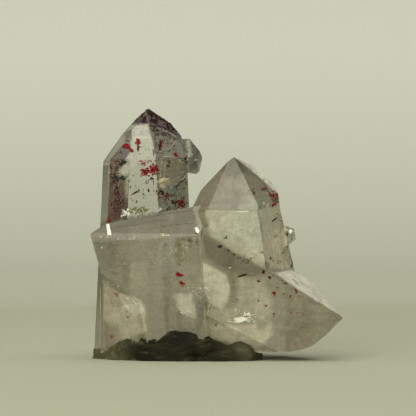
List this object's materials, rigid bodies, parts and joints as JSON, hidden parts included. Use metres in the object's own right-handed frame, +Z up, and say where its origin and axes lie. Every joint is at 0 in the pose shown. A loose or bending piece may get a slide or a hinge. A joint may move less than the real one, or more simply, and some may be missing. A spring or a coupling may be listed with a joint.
{
  "type": "smoky quartz cluster on matrix",
  "caption": "Cluster of pale smoky quartz points with red mineral flecks, grown on a lump of dark grey-green rock.",
  "frame": {"origin": "on the flat foot of the rock, below the middle of the object's box", "axes": "+Z up along the tall point; -Y towards the side that is shown, with the low point on +X"},
  "size_m": [0.0452, 0.0275, 0.0456],
  "materials": {
    "quartz": "gloss",
    "matrix": "matte"
  },
  "bodies": {
    "root": {"quartz_crystals": "quartz", "matrix_rock": "matrix"}
  },
  "joints": []
}
